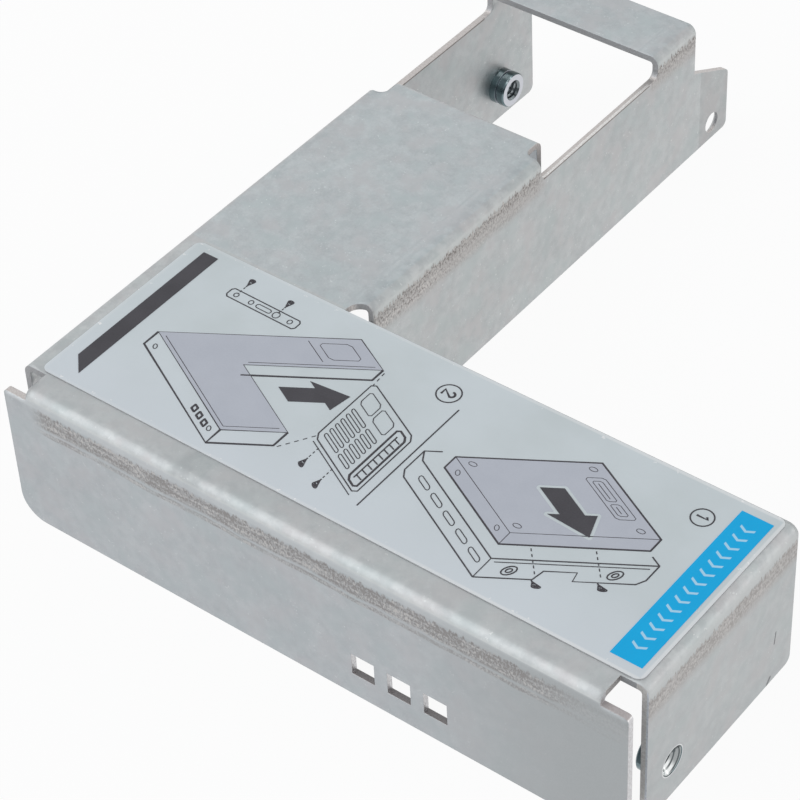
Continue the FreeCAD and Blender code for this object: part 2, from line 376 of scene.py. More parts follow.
steelSettings = {
    "light": (0.540, 0.560, 0.568),
    "dark": (0.388, 0.408, 0.418),
    "cool": (0.432, 0.476, 0.482),
    "warm": (0.486, 0.476, 0.484),
    "fleck": (0.60, 0.62, 0.62),
    "cloud": 0.0016,                   # sizes of the mottle, in metres
    "wide": 0.011,
    "hue": 0.0045,
    "grain": 0.00028,
    "flecks": 0.00042,
    "sparse": 0.0021,
    "mottle": (0.38, 0.26, 0.36),      # how much the cloud, the wide one and the grain count
    # tints by which way a face looks, painted light and shade
    "frontPaintedLight": (0.440, 0.480, 0.540),
    "frontShare": 0.24,
    "endPaintedLight": (0.520, 0.530, 0.528),
    "endShare": 0.2,
    "sidePaintedLight": (1.061, 1.054, 1.046), # painted light: the other walls that look sideways are lighter by this much
    "tabPaintedShade": (0.95, 0.94, 0.93),     # and the tab is darker by this much, a painted shade
    "topPaintedLight": (0.972, 1.0, 1.014),    # and the leg's top is a little cooler, a painted light tint
    "shade": (0.012, 0.046, 0.85),     # x over which a painted shade darkens the front wall, and how much
    "strip": (-0.0600, -0.0580, 0.35), # y over which the painted shade on the strip in front of the film ends, and how dark it is
    "roughness": (0.41, 0.51),
    "cut": (0.580, 0.555, 0.545),      # sheared faces that look up or sideways, painted lighter
    "cutShaded": (0.385, 0.395, 0.41),   # and those that look along the part, in painted shade
    "cutCorner": (0.66, 0.645, 0.63),  # the end wall's front edge
    "cutLipHighlight": (0.70, 0.74, 0.80),      # and the painted highlight line on its outer rim
    "cutEar": (0.43, 0.405, 0.41),     # the right ear's top
    "cutEndHighlight": (0.70, 0.70, 0.715),     # and the painted highlight on the front wall's end below it
    "cutSillHighlight": (0.78, 0.775, 0.765),   # painted highlight on the outer half of the window's edge
    "cutGrain": (0.30, 0.27, 0.26),
    "cutDull": 0.65,                   # how far the edges that look along the part lose their metal look
    "crazeMid": (0.376, 0.374, 0.378),
    "crazePale": (0.468, 0.450, 0.441),
    "crazeDark": (0.205, 0.182, 0.170),
    "crazeLight": (0.66, 0.635, 0.615),
    "crazeShare": (0.47, 0.67),        # how strong the strokes are in front and on the sides
    "press": (0.36, 0.395, 0.415),
    "pressLines": ((-0.0214, 0.00022), (-0.0224, 0.00013)),    # x and half width of each
    "pressStart": -0.0262,
    "mark": (0.05, 0.05, 0.055),
    "edgeRadius": 0.00012,             # how soft a sheared edge looks
    "bendRadius": 0.00135,             # how far a bend's shading runs into the flats
    "bendDull": 0.08,                  # how much rougher the sheet is there
    "legDull": 0.15,                   # and how much more on the leg's right bend
}


def makeCutEdge(w):
    # 1 on the sheared faces of the sheet, 0 on its broad faces and bends.
    group, given, result = newGroup("cutEdge", {"Position": origin, "Normal": origin}, ["Mask"])
    places, facings = partsOf(given["Position"]), partsOf(given["Normal"])
    half = w["half"]
    middles = ((w["left"] + half, w["legRight"] - half, w["right"] - half),
               (w["front"] + half, w["flange"] - half), (w["top"] - half,))
    broad = []
    for axis in range(3):
        inSheet = most(*[isNear(places[axis], middle, 0.0007) for middle in middles[axis]])
        if axis == 0:     # the front wall's two ends are sheared, though they lie in these planes
            inSheet = times(inSheet, isAbove(places[1], -0.0641))
        broad.append(times(inSheet, ramp(awayFrom(facings[axis]), 0.62, 0.70)))
    feed(result["Mask"], calc("SUBTRACT", 1.0, most(*broad), clamp=True))
    return group


crazeSettings = {
    "low": 0.0195,                   # lower edge of the band in front,
    "lowLeg": (0.0186, 0.0191),      # on the leg, in front and behind,
    "lowEnd": 0.0183,                # and on the end wall
    "wander": 0.0016,                # how far that edge wanders
    "high": (0.0222, 0.0226),        # the upper edge fades out between these heights
    "teeth": (-0.0018, -0.0026),     # length of its teeth in front and on the sides
    "begin": (-0.0468, -0.0425),     # x over which the front wall's band begins
    "end": (0.034, 0.047),           # and nearly fades out
    "rear": 0.55,                    # strength on the rear flange
    "gap": (0.0130, 0.0166, 0.0426, 0.0436),    # y between which the leg has none
    "streak": (0.01872, 0.00028, 0.00052),      # height and half width of the thin streak in front
}


def makeCraze(s, w):
    # Crazed zinc in a band below each bend. Pale is 1 on the walls that look sideways, where it is lighter.
    group, given, result = newGroup(
        "bendCraze", {"Position": origin, "Normal": origin}, ["Band", "Pale", "Dark", "Light"])
    x, y, z = partsOf(given["Position"])
    faceX, _, faceZ = partsOf(given["Normal"])

    def noise(stretch, scale, detail, distortion=0.0):
        squeeze = addNode(group, "ShaderNodeVectorMath", operation="MULTIPLY")
        feed(squeeze.inputs[0], given["Position"])
        feed(squeeze.inputs[1], stretch)
        made = addNode(group, "ShaderNodeTexNoise", Vector=squeeze.outputs[0], Scale=scale, Detail=detail,
                       Distortion=distortion)
        return made.outputs["Fac"]

    wide = noise((1.0, 1.0, 1.0), 110.0, 2.0)           # how the band's lower edge wanders
    comb = noise((1.0, 1.0, 0.02), 2600.0, 1.0)         # teeth of its upper edge
    lines = noise((0.10, 0.10, 1.0), 2100.0, 1.0)       # streaks along the bend
    strokes = noise((1.0, 1.0, 0.68), 3300.0, 1.5, 0.7)
    upright = fall(awayFrom(faceZ), 0.30, 0.70)
    sideways = ramp(awayFrom(faceX), 0.60, 0.80)
    front = inverse(sideways)
    onEnd = isAbove(x, 0.030)
    onLeg = times(sideways, inverse(onEnd))
    # in front it begins sharply at its lower edge, on the sides it comes in over about 2 mm
    low = mixValue(onEnd, ramp(y, 0.040, 0.046, *s["lowLeg"]), s["lowEnd"])
    low = mixValue(sideways, s["low"], low)
    height = plus(z, minus(wide, 0.5), s["wander"])
    rise = times(minus(height, low), 1000.0)
    rising = mixValue(sideways, ramp(rise, -0.25, 0.45), ramp(rise, -0.5, 1.9))
    tooth = plus(z, minus(comb, 0.5), mixValue(sideways, *s["teeth"]))
    tooth = plus(plus(tooth, onLeg, -0.0006), front, 0.00012)
    band = times(fall(tooth, *s["high"]), rising, upright)
    # the front wall's band starts a little way in from its left end
    begun = times(ramp(x, *s["begin"]), ramp(x, *s["end"], 1.0, 0.15))
    begun = most(begun, sideways)
    begun = mixValue(times(front, isAbove(y, 0.0)), begun, s["rear"])
    band = times(band, begun, ramp(wide, 0.22, 0.50, 0.85))
    # no bend, so no crazing, beside the window in the leg
    gapFrom, gapIn, gapOut, gapTo = s["gap"]
    inGap = times(ramp(y, gapFrom, gapIn), fall(y, gapOut, gapTo), sideways)
    band = times(band, inverse(inGap))
    # it lies on the outer faces alone
    skin = w["skin"]
    outerX = most(isNear(x, w["legRight"], skin), isAbove(awayFrom(x), w["right"] - skin))
    onFront = isBelow(y, w["front"] + skin)
    outerY = most(onFront, isNear(y, w["flange"], skin))
    band = times(band, mixValue(sideways, outerY, outerX))
    # a second, thinner streak lower down the front wall
    middle, inner, outer = s["streak"]
    broken = ramp(noise((1.0, 1.0, 1.0), 330.0, 2.0), 0.34, 0.50, 0.65)
    streak = times(fall(awayFrom(height, middle), inner, outer, 0.72), broken, begun)
    streak = times(streak, times(front, onFront), upright)
    feed(result["Band"], most(band, streak))
    feed(result["Pale"], sideways)
    # on the sideways walls the strokes gather higher up, on the leg's front half over more of the band
    grain = plus(strokes, minus(lines, 0.5), mixValue(sideways, 0.60, 0.35))
    grain = plus(grain, onLeg, -0.035)
    upper, lower = ramp(z, 0.0206, 0.0226, 0.42), ramp(z, 0.0190, 0.0204, 0.42)
    dense = mixValue(sideways, 1.0, mixValue(ramp(y, -0.018, -0.003), lower, upper))
    dense = times(dense, plus(1.0, onEnd, times(sideways, -0.45)))
    feed(result["Dark"], times(ramp(grain, 0.48, 0.59), dense))
    feed(result["Light"], times(fall(grain, 0.33, 0.44), dense))
    return group


# from, to, width and strength of single marks, in metres
steelMarks = [
    ((0.0508, -0.03145, 0.0089), (0.0508, -0.03170, 0.0069), 0.00016, 0.75),
    ((0.0508, -0.0329, 0.0002), (0.0508, -0.0323, 0.0010), 0.00035, 0.6),
]


def nearBends(x, y, z, cut, w):
    # 1 near the bends, 0 elsewhere and on the sheared edges; and the same for the leg's right bend alone.
    closes = [fall(awayFrom(x, w[wall]), 0.0015, 0.0036) for wall in ("left", "legRight", "right")]
    close = most(*closes, fall(y, w["front"] + 0.0015, w["front"] + 0.0036))
    close = times(close, ramp(z, 0.0210, 0.0222), inverse(cut))
    return close, times(closes[1], close)


def cutPaintedLight(x, y, faceX, faceZ, along, s, w):
    # The sheared edges, lighter or darker by which way they look: painted light and shade, with painted
    # highlights on some rims. Along is 1 on those that look along the part.
    tone = mixColour(along, s["cut"], s["cutShaded"])
    tone = mixColour(times(along, isAbove(x, 0.0490)), tone, s["cutCorner"])
    tone = mixColour(times(along, isAbove(x, w["right"] - w["skin"])), tone, s["cutLipHighlight"])
    up = ramp(faceZ, 0.5, 0.8)
    onRight = times(isBelow(y, -0.0640), isAbove(x, 0.0))
    tone = mixColour(times(onRight, up), tone, s["cutEar"])
    tone = mixColour(times(onRight, ramp(faceX, 0.6, 0.9)), tone, s["cutEndHighlight"])
    outerHalf = times(isNear(y, *w["window"]), isNear(x, w["legRight"] - 0.0001, 0.00035))
    return mixColour(times(outerHalf, up), tone, s["cutSillHighlight"])


def makeSteel(s, w):
    material, shader, spot, facing = startMaterial("galvanisedSheet")
    cloud, grain = grainOf(spot, s["cloud"], s["grain"])
    wide, flecks = grainOf(spot, s["wide"], s["flecks"])
    hue, sparse = grainOf(spot, s["hue"], s["sparse"])
    x, y, z = partsOf(spot)
    faceX, faceY, faceZ = partsOf(facing)
    cut = placeGroup(cutEdge, Position=spot, Normal=facing)["Mask"]
    # base: soft mottle that drifts between a neutral and a cooler grey, with sparse bright flecks
    cloudShare, wideShare, grainShare = s["mottle"]
    tone = plus(plus(times(wide, wideShare), cloud, cloudShare), grain, grainShare)
    base = mixColour(tone, s["dark"], s["light"])
    base = mixColour(ramp(hue, 0.5, 1.0, 0.0, 0.55), base, s["cool"])
    base = mixColour(fall(hue, 0.0, 0.5, 0.55), base, s["warm"])
    base = mixColour(times(ramp(flecks, 0.87, 1.0), ramp(sparse, 0.50, 1.0)), base, s["fleck"])
    # the mottle is a little stronger near the bends, and the lower half of each bend is lighter: a painted
    # highlight
    nearBend, legBend = nearBends(x, y, z, cut, w)
    base = mixColour(times(ramp(cloud, 0.30, 0.80), nearBend, 0.16), base, s["fleck"])
    paintedBendHighlight = times(ramp(z, 0.0223, 0.0228), fall(z, 0.0236, 0.0241, 0.55))
    base = mixColour(times(paintedBendHighlight, nearBend), base, s["fleck"])
    # painted light by facing: walls that look along the part are bluer, the others and the leg's top have their
    # own tints
    onFront = ramp(awayFrom(faceY), 0.96, 0.998)
    onSide = ramp(awayFrom(faceX), 0.6, 0.9)
    onTop = ramp(faceZ, 0.93, 0.99)
    base = mixColour(times(onFront, s["frontShare"]), base, s["frontPaintedLight"])
    base = mixColour(times(onSide, ramp(x, *w["endWall"], 0.0, s["endShare"])), base, s["endPaintedLight"])
    others = times(onSide, times(fall(x, *w["endWall"]), isBelow(y, w["tab"])))
    base = mixColour(others, base, s["sidePaintedLight"], blend="MULTIPLY")
    base = mixColour(times(onSide, isAbove(y, w["tab"])), base, s["tabPaintedShade"], blend="MULTIPLY")
    base = mixColour(times(onTop, isAbove(y, w["barEnd"])), base, s["topPaintedLight"], blend="MULTIPLY")
    # painted shade: it is darker towards the front wall's right end and on the strip in front of the film
    shadeFrom, shadeTo, shadeMost = s["shade"]
    shade = times(onFront, ramp(x, shadeFrom, shadeTo, 0.0, shadeMost))
    base = mixColour(most(shade, times(onTop, fall(y, *s["strip"]))), base, s["dark"])
    # faint broken press lines along the leg's top, beside its right bend
    lines = most(*[fall(awayFrom(x, middle), half * 0.5, half * 2) for middle, half in s["pressLines"]])
    lines = times(lines, isAbove(y, s["pressStart"]), ramp(faceZ, 0.9, 0.99), ramp(cloud, 0.45, 0.75))
    base = mixColour(times(lines, 0.3), base, s["press"])
    # crazed zinc just under each bend
    craze = placeGroup(bendCraze, Position=spot, Normal=facing)
    band, pale = craze["Band"], craze["Pale"]
    dark, light = times(band, craze["Dark"]), times(band, craze["Light"])
    base = mixColour(times(band, 0.80), base, mixColour(pale, s["crazeMid"], s["crazePale"]))
    strong = mixValue(pale, *s["crazeShare"])
    base = mixColour(times(dark, strong), base, s["crazeDark"])
    base = mixColour(times(light, strong), base, s["crazeLight"])
    # a dark line just below the window's long edges
    sill = times(isNear(y, *w["window"]), ramp(z, *w["sill"]), times(onSide, 0.85))
    base = mixColour(sill, base, s["crazeDark"])
    # sheared edges, with their painted light and shade
    along = ramp(awayFrom(faceY), 0.45, 0.85)
    cutTone = mixColour(times(grain, 0.35), cutPaintedLight(x, y, faceX, faceZ, along, s, w), s["cutGrain"])
    base = mixColour(cut, base, cutTone)
    # single scratches and nicks
    marks = most(*[times(placeGroup(scratchMark, Position=spot, From=a, To=b, Width=width)["Mask"], strength)
                   for a, b, width, strength in steelMarks])
    rough = plus(roughOf(s, grain), band, 0.10)
    rough = plus(plus(rough, nearBend, s["bendDull"]), legBend, s["legDull"])
    rounded = softened(material.node_tree, 8, mixValue(nearBend, s["edgeRadius"], s["bendRadius"]))
    height = minus(plus(minus(light, dark), grain, 0.22), times(marks, 2.0))
    setUp(shader, Base_Color=mixColour(marks, base, s["mark"]), Roughness=rough,
          Metallic=mixValue(times(cut, along), 1.0, 1.0 - s["cutDull"]),
          Normal=bumpOf(height, 0.30, 0.00005, Normal=rounded))
    return material


bendCraze = makeCraze(crazeSettings, sheet)
cutEdge = makeCutEdge(sheet)
steel = makeSteel(steelSettings, sheet)
print("galvanised sheet is ready")


# Zinc plated standoffs

zincSettings = {
    "barrel": (0.115, 0.165, 0.18),
    "barrelLight": (0.18, 0.24, 0.26),
    "barrelDarkReflection": (0.055, 0.075, 0.08),   # a painted dark reflection on the upper side, towards the rear
    # a painted highlight line along the barrel
    "barrelShine": (0.78, 0.93, 0.96),
    "barrelEnd": 0.0495,                 # x where the barrels end and the sheet begins
    "face": (0.60, 0.615, 0.66),         # the flat ends
    "flush": (0.475, 0.490, 0.500),      # and the outer end that is level with the sheet
    "mouth": (0.84, 0.86, 0.86),         # the bright outer mouth
    # painted shade in the mouths: their inner ends, and the dark arcs and rear half of the outer mouth
    "mouthInnerShade": (0.20, 0.225, 0.235),
    "mouthShade": (0.11, 0.125, 0.13),
    # the bore in painted shade
    "bore": (0.10, 0.115, 0.125),
    "crest": (0.36, 0.39, 0.405),
    "roughness": (0.15, 0.21),
    "axes": (-0.0552, 0.0464),           # y of the standoffs' axes
    "height": 0.00635,
    "mouthRadius": 0.00215,
    "highlightRingRadius": 0.00229,               # a painted highlight ring round the mouth
    "boreRadius": 0.00146,
    "crestRadius": 0.00120,
    "arcPitch": 0.00036,
    "edgeRadius": 0.00012,
}


def mouthPaintedShade(radius, rise, aside, s):
    # Painted shade in the outer mouth: the thread runs out in dark arcs, and the mouth's rear half is dark.
    turn = calc("ARCTAN2", rise, aside)
    winding = plus(calc("DIVIDE", radius, s["arcPitch"]), turn, 1 / (2 * math.pi))
    arcs = fall(awayFrom(calc("FRACT", winding), 0.5), 0.10, 0.26)
    arcs = times(arcs, ramp(aside, -0.0008, 0.0006, 0.35))
    deep = times(fall(radius, 0.00168, 0.00184), ramp(rise, -0.0010, -0.0002))
    deep = most(deep, ramp(aside, 0.0004, 0.0013, 0.0, 0.68))
    return mixColour(most(arcs, deep), s["mouth"], s["mouthShade"])


def makeZinc(s):
    material, shader, spot, facing = startMaterial("zincPlatedSteel")
    cloud, grain = grainOf(spot, 0.0011, 0.00012)
    x, y, z = partsOf(spot)
    faceX, faceY, faceZ = partsOf(facing)
    # distance from the nearer standoff's axis
    near = least(*[awayFrom(y, axis) for axis in s["axes"]])
    rise = minus(z, s["height"])
    radius = calc("SQRT", plus(times(rise, rise), near, near))
    boreEdge = s["boreRadius"] - 0.00008
    # painted shade in the bore: the thread's crests lighter, its roots darker
    bore = mixColour(ramp(radius, s["crestRadius"], boreEdge), s["crest"], s["bore"])
    mouth = mouthPaintedShade(radius, rise, minus(y, s["axes"][0]), s)
    # the mouth's inner end, towards the inside of the bracket, in painted shade
    mouth = mixColour(ramp(awayFrom(x), 0.0482, 0.0490), s["mouthInnerShade"], mouth)
    outside = ramp(awayFrom(x), 0.05065, 0.05075)
    face = mixColour(outside, s["face"], s["flush"])
    # a painted highlight ring round the outer mouth
    ring = times(outside, isNear(radius, s["highlightRingRadius"], 0.00007), 0.65)
    face = mixColour(ring, face, s["mouth"])
    # the barrel has a painted dark reflection behind and one painted highlight line above
    flat = ramp(awayFrom(faceX), 0.80, 0.97)
    above = isAbove(faceZ, 0.0)
    side = mixColour(cloud, s["barrel"], s["barrelLight"])
    side = mixColour(times(ramp(faceY, -0.08, 0.06), above), side, s["barrelDarkReflection"])
    shine = fall(awayFrom(faceY, -0.25), 0.05, 0.22, 0.9)
    shine = times(shine, times(above, isBelow(awayFrom(x), s["barrelEnd"])))
    side = mixColour(shine, side, s["barrelShine"])
    side = mixColour(fall(radius, s["mouthRadius"] - 0.00005, s["mouthRadius"]), side, mouth)
    base = mixColour(flat, side, face)
    base = mixColour(fall(radius, boreEdge, s["boreRadius"]), base, bore)
    rough = plus(plus(roughOf(s, grain), flat, 0.15), outside, 0.12)
    rounded = softened(material.node_tree, 6, s["edgeRadius"])
    setUp(shader, Base_Color=base, Roughness=rough, Metallic=1.0,
          Normal=bumpOf(grain, 0.04, 0.00001, Normal=rounded))
    return material


zinc = makeZinc(zincSettings)
print("zinc plate is ready")


# Label film and its print

filmSettings = {
    "light": (0.664, 0.722, 0.752),
    "dark": (0.602, 0.658, 0.676),
    "front": (0.69, 0.738, 0.785),    # a painted sheen along its front edge
    "paintedSheen": (0.016, 0.75),           # how far that reaches and how strong it is
    # a painted highlight along the film's rim
    "rim": (0.86, 0.87, 0.87),
    "rimWidth": 0.00048,
    "speck": (0.93, 0.93, 0.93),
    # the film's thin sides: its cut edge, with a painted shadow along it
    "side": (0.50, 0.50, 0.51),
    "sideEndShade": (0.55, 0.55, 0.56),
    "roughness": (0.40, 0.50),
}


def makeFilm(s):
    material, shader, spot, facing = startMaterial("labelFilm")
    cloud, grain = grainOf(spot, 0.016, 0.0004)
    specks = grainOf(spot, 0.0009, 0.0030)[0]
    x, y, _ = partsOf(spot)
    faceX, _, faceZ = partsOf(facing)
    low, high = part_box("label_film")
    # how far a point lies inside the film's outline
    inset = least(*[minus((high[axis] - low[axis]) / 2, awayFrom(place, (low[axis] + high[axis]) / 2))
                    for axis, place in enumerate((x, y))])
    base = mixColour(cloud, s["dark"], s["light"])
    # a painted sheen along the film's front edge
    reach, strength = s["paintedSheen"]
    base = mixColour(fall(y, low[1], low[1] + reach, strength), base, s["front"])
    # a painted highlight along the rim, stronger towards the right
    rim = fall(inset, s["rimWidth"] * 0.6, s["rimWidth"] * 1.3, 0.62)
    base = mixColour(times(rim, ramp(x, -0.040, 0.046, 0.25)), base, s["rim"])
    base = mixColour(times(fall(inset, 0.0003, 0.0012), ramp(specks, 0.94, 1.0)), base, s["speck"])
    # the film's thin sides are darker: its cut edge, with a painted shadow along it, lighter on its ends
    side = fall(awayFrom(faceZ), 0.4, 0.8)
    ends = ramp(awayFrom(faceX), 0.5, 0.9)
    base = mixColour(side, base, mixColour(ends, s["side"], s["sideEndShade"]))
    setUp(shader, Base_Color=base, Roughness=roughOf(s, grain), Specular_IOR_Level=0.25,
          Normal=bumpOf(grain, 0.08, 0.00002))
    return material


inkSettings = {
    "printDark": {"light": (0.076, 0.073, 0.084), "dark": (0.052, 0.050, 0.058), "roughness": (0.45, 0.55)},
    "printGrey": {"light": (0.530, 0.555, 0.620), "dark": (0.490, 0.515, 0.580), "roughness": (0.45, 0.55)},
    "printBlue": {"light": (0.002, 0.455, 0.860), "dark": (0.001, 0.425, 0.820), "roughness": (0.45, 0.55)},
    "printLine": {"light": (0.075, 0.07, 0.08), "dark": (0.05, 0.046, 0.055), "roughness": (0.45, 0.55)},
}

chevronSettings = {
    "colour": (0.43, 0.72, 0.92),
    "pitch": 0.00185,
    "lean": 0.55,            # how far the point runs ahead, for each unit of half width
    "half": 0.00105,         # half the row's width
    "share": 0.22,           # how much of the pitch is printed
    "middle": 0.04595,       # x of the row's middle line
    "ends": (-0.0572, -0.0311),
}


def addChevrons(spot, base, s):
    # A row of plain pale chevrons left open in the blue band.
    x, y, _ = partsOf(spot)
    off = awayFrom(x, s["middle"])
    lean = plus(y, off, -s["lean"])
    start, stop = s["ends"]
    share = calc("FRACT", calc("DIVIDE", minus(lean, start), s["pitch"]))
    mask = fall(awayFrom(share, 0.5), s["share"] / 2 - 0.03, s["share"] / 2 + 0.03)
    inRow = fall(off, s["half"] - 0.00005, s["half"] + 0.00005)
    mask = times(mask, inRow, times(isAbove(lean, start), isBelow(lean, stop)))
    return mixColour(mask, base, s["colour"])


def makeInk(name, s):
    material, shader, spot, _ = startMaterial(name)
    cloud, grain = grainOf(spot, 0.004, 0.00025)
    base = mixColour(plus(times(grain, 0.4), cloud, 0.6), s["dark"], s["light"])
    if name == "printBlue":
        base = addChevrons(spot, base, chevronSettings)
    setUp(shader, Base_Color=base, Roughness=roughOf(s, grain), Specular_IOR_Level=0.25,
          Normal=bumpOf(grain, 0.06, 0.00001))
    return material


film = makeFilm(filmSettings)
inks = {name: makeInk(name, values) for name, values in inkSettings.items()}
print("film and inks are ready")


def dress(name, material):
    shape = nodes[name]
    for slot in shape.material_slots:
        slot.material = material
    if not shape.material_slots:
        shape.data.materials.append(material)


dressing = {
    "folded_bracket": steel,
    "standoff_front_left": zinc,
    "standoff_rear_left": zinc,
    "standoff_front_right": zinc,
    "label_film": film,
    "label_print_dark": inks["printDark"],
    "label_print_grey": inks["printGrey"],
    "label_print_blue": inks["printBlue"],
}
for name, material in dressing.items():
    dress(name, material)
print("all nodes are dressed")


def pick(piece):
    # Leaves it the only selected piece.
    deselect()
    piece.select_set(True)
    bpy.context.view_layer.objects.active = piece


def finish(piece, name, material):
    # A finished piece: at the origin, on the one body, with its own material.
    pick(piece)
    bpy.ops.object.transform_apply(location=True, rotation=True, scale=True)
    piece.name = name
    piece.data.name = name
    piece.data.materials.clear()
    piece.data.materials.append(material)
    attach(piece, "root")
    return piece


# Threads in the standoffs, in millimetres

threadSettings = {
    "pitch": 0.79,
    "turns": 2,
    "wall": 1.43,        # a little into the bore's wall
    "crest": 1.17,
    "foot": 0.30,        # half the ridge's width at the wall
    "steps": 36,
    "height": 6.35,
    "start": (-49.25, -55.2),        # x of the first turn and y of the axis, front left
    "copies": {                      # how far each copy moves from there, in x and y
        "threadRearLeft": (0.0, 101.6),
        "threadFrontRight": (96.97, 0.0),
    },
}


def addThread(s):
    deselect()
    bpy.ops.mesh.primitive_circle_add(vertices=3, radius=0.3, fill_type="NGON", location=(0, 0, 0))
    ridge = bpy.context.object
    # the triangle's tip points at the axis, its base lies in the wall
    places = ((-s["foot"], s["wall"]), (s["foot"], s["wall"]), (0.0, s["crest"]))
    for corner, (along, out) in zip(ridge.data.vertices, places):
        corner.co = Vector((along, 0.0, out))
    screw = ridge.modifiers.new("turns", "SCREW")
    screw.axis = "X"
    screw.screw_offset = s["pitch"]
    screw.iterations = s["turns"]
    screw.steps = s["steps"]
    screw.render_steps = s["steps"]
    bpy.ops.object.modifier_apply(modifier="turns")
    bpy.ops.object.mode_set(mode="EDIT")
    bpy.ops.mesh.select_all(action="SELECT")
    bpy.ops.mesh.remove_doubles(threshold=0.0005)
    bpy.ops.mesh.select_all(action="DESELECT")
    bpy.ops.mesh.select_non_manifold(extend=False)
    bpy.ops.mesh.edge_face_add()
    bpy.ops.mesh.select_all(action="SELECT")
    bpy.ops.mesh.normals_make_consistent(inside=False)
    bpy.ops.object.mode_set(mode="OBJECT")
    x, y = s["start"]
    ridge.scale = (mm, mm, mm)
    ridge.location = (x * mm, y * mm, s["height"] * mm)
    bpy.ops.object.shade_smooth_by_angle(angle=math.radians(40))
    return finish(ridge, "threadFrontLeft", zinc)


def copyThread(thread, name, x, y):
    # The same thread in another standoff, with a mesh of its own.
    pick(thread)
    bpy.ops.object.duplicate(linked=False)
    copy = bpy.context.object
    copy.location = (x * mm, y * mm, 0.0)
    finish(copy, name, zinc)


thread = addThread(threadSettings)
for name, move in threadSettings["copies"].items():
    copyThread(thread, name, *move)
print("threads are cut")


# Printed line work on the film. Places are in millimetres from the bracket's front left corner.

deepWay = Vector((0.85, 0.52))
wideWay = Vector((0.89, -0.46))
riseWay = Vector((0.0, 1.0))

printSettings = {
    "corner": (-50.8, -65.2),   # front left corner of the bracket
    "height": 24.975,
    "half": 0.0242,             # half the ink's thickness
    "heavy": 0.34,
    "plain": 0.21,
    "fine": 0.15,
}


def at(base, deep=0.0, wide=0.0, rise=0.0):
    return base + deepWay * deep + wideWay * wide + riseWay * rise


def ring(centre, radius, first, second, steps, start=0.0, sweep=360.0):
    # An ellipse or part of one, drawn in the plane of two of the sketch's directions.
    count = steps if sweep >= 360 else steps + 1
    turn = [math.radians(start + sweep * step / steps) for step in range(count)]
    return [centre + first * (radius * math.cos(a)) + second * (radius * math.sin(a)) for a in turn]


def slot(centre, length, radius, along, across):
    # A long hole with round ends.
    reach = length / 2 - radius
    outline = []
    for end in (1, -1):
        for angle in (90, 45, 0, -45, -90):
            turn = math.radians(angle)
            run, rise = reach + radius * math.cos(turn), radius * math.sin(turn)
            outline.append(centre + along * (end * run) + across * (end * rise))
    return outline


def dashes(a, b, dash):
    # The gaps are as long as the dashes.
    run = b - a
    step = run.normalized()
    strokes = []
    place = 0.0
    while place < run.length:
        strokes.append([a + step * place, a + step * min(place + dash, run.length)])
        place += dash + dash
    return strokes


def window(corner, length, width, along, across, cut):
    # A rectangle with its corners cut off.
    outline = [(cut, 0), (length - cut, 0), (length, cut), (length, width - cut),
               (length - cut, width), (cut, width), (0, width - cut), (0, cut)]
    return [corner + along * a + across * b for a, b in outline]


def addPrint(name, strokes, weight, s):
    # strokes: (points, closed). They become one flat ribbon mesh on the film.
    curve = bpy.data.curves.new(name, "CURVE")
    curve.dimensions = "3D"
    curve.fill_mode = "FULL"
    curve.bevel_depth = s[weight] / 2
    curve.bevel_resolution = 0
    curve.use_fill_caps = True
    for points, closed in strokes:
        spline = curve.splines.new("POLY")
        spline.points.add(len(points) - 1)
        for point, place in zip(spline.points, points):
            point.co = (place[0], place[1], 0.0, 1.0)
        spline.use_cyclic_u = closed
    piece = bpy.data.objects.new(name, curve)
    scene.collection.objects.link(piece)
    pick(piece)
    bpy.ops.object.convert(target="MESH")
    piece = bpy.context.object
    left, front = s["corner"]
    piece.location = (left * mm, front * mm, s["height"] * mm)
    piece.scale = (mm, mm, mm * s["half"] / (s[weight] / 2))
    finish(piece, name, inks["printLine"])


def openLines(*lines):
    return [(line, False) for line in lines]


def closedLines(*lines):
    return [(line, True) for line in lines]


def screwMark(centre, size, along, lean):
    # A small screw: its head, two strokes of the cone and the shank.
    head = ring(centre, size, along, lean * 0.55, steps=12)
    tip = centre + lean * (size * 2.3)
    heavy = closedLines(head, ring(centre, size * 0.45, along, lean * 0.55, steps=10))
    heavy += openLines([centre + along * size, tip], [centre - along * size, tip],
                       [centre + lean * size, tip + lean * (size * 0.6)])
    return heavy


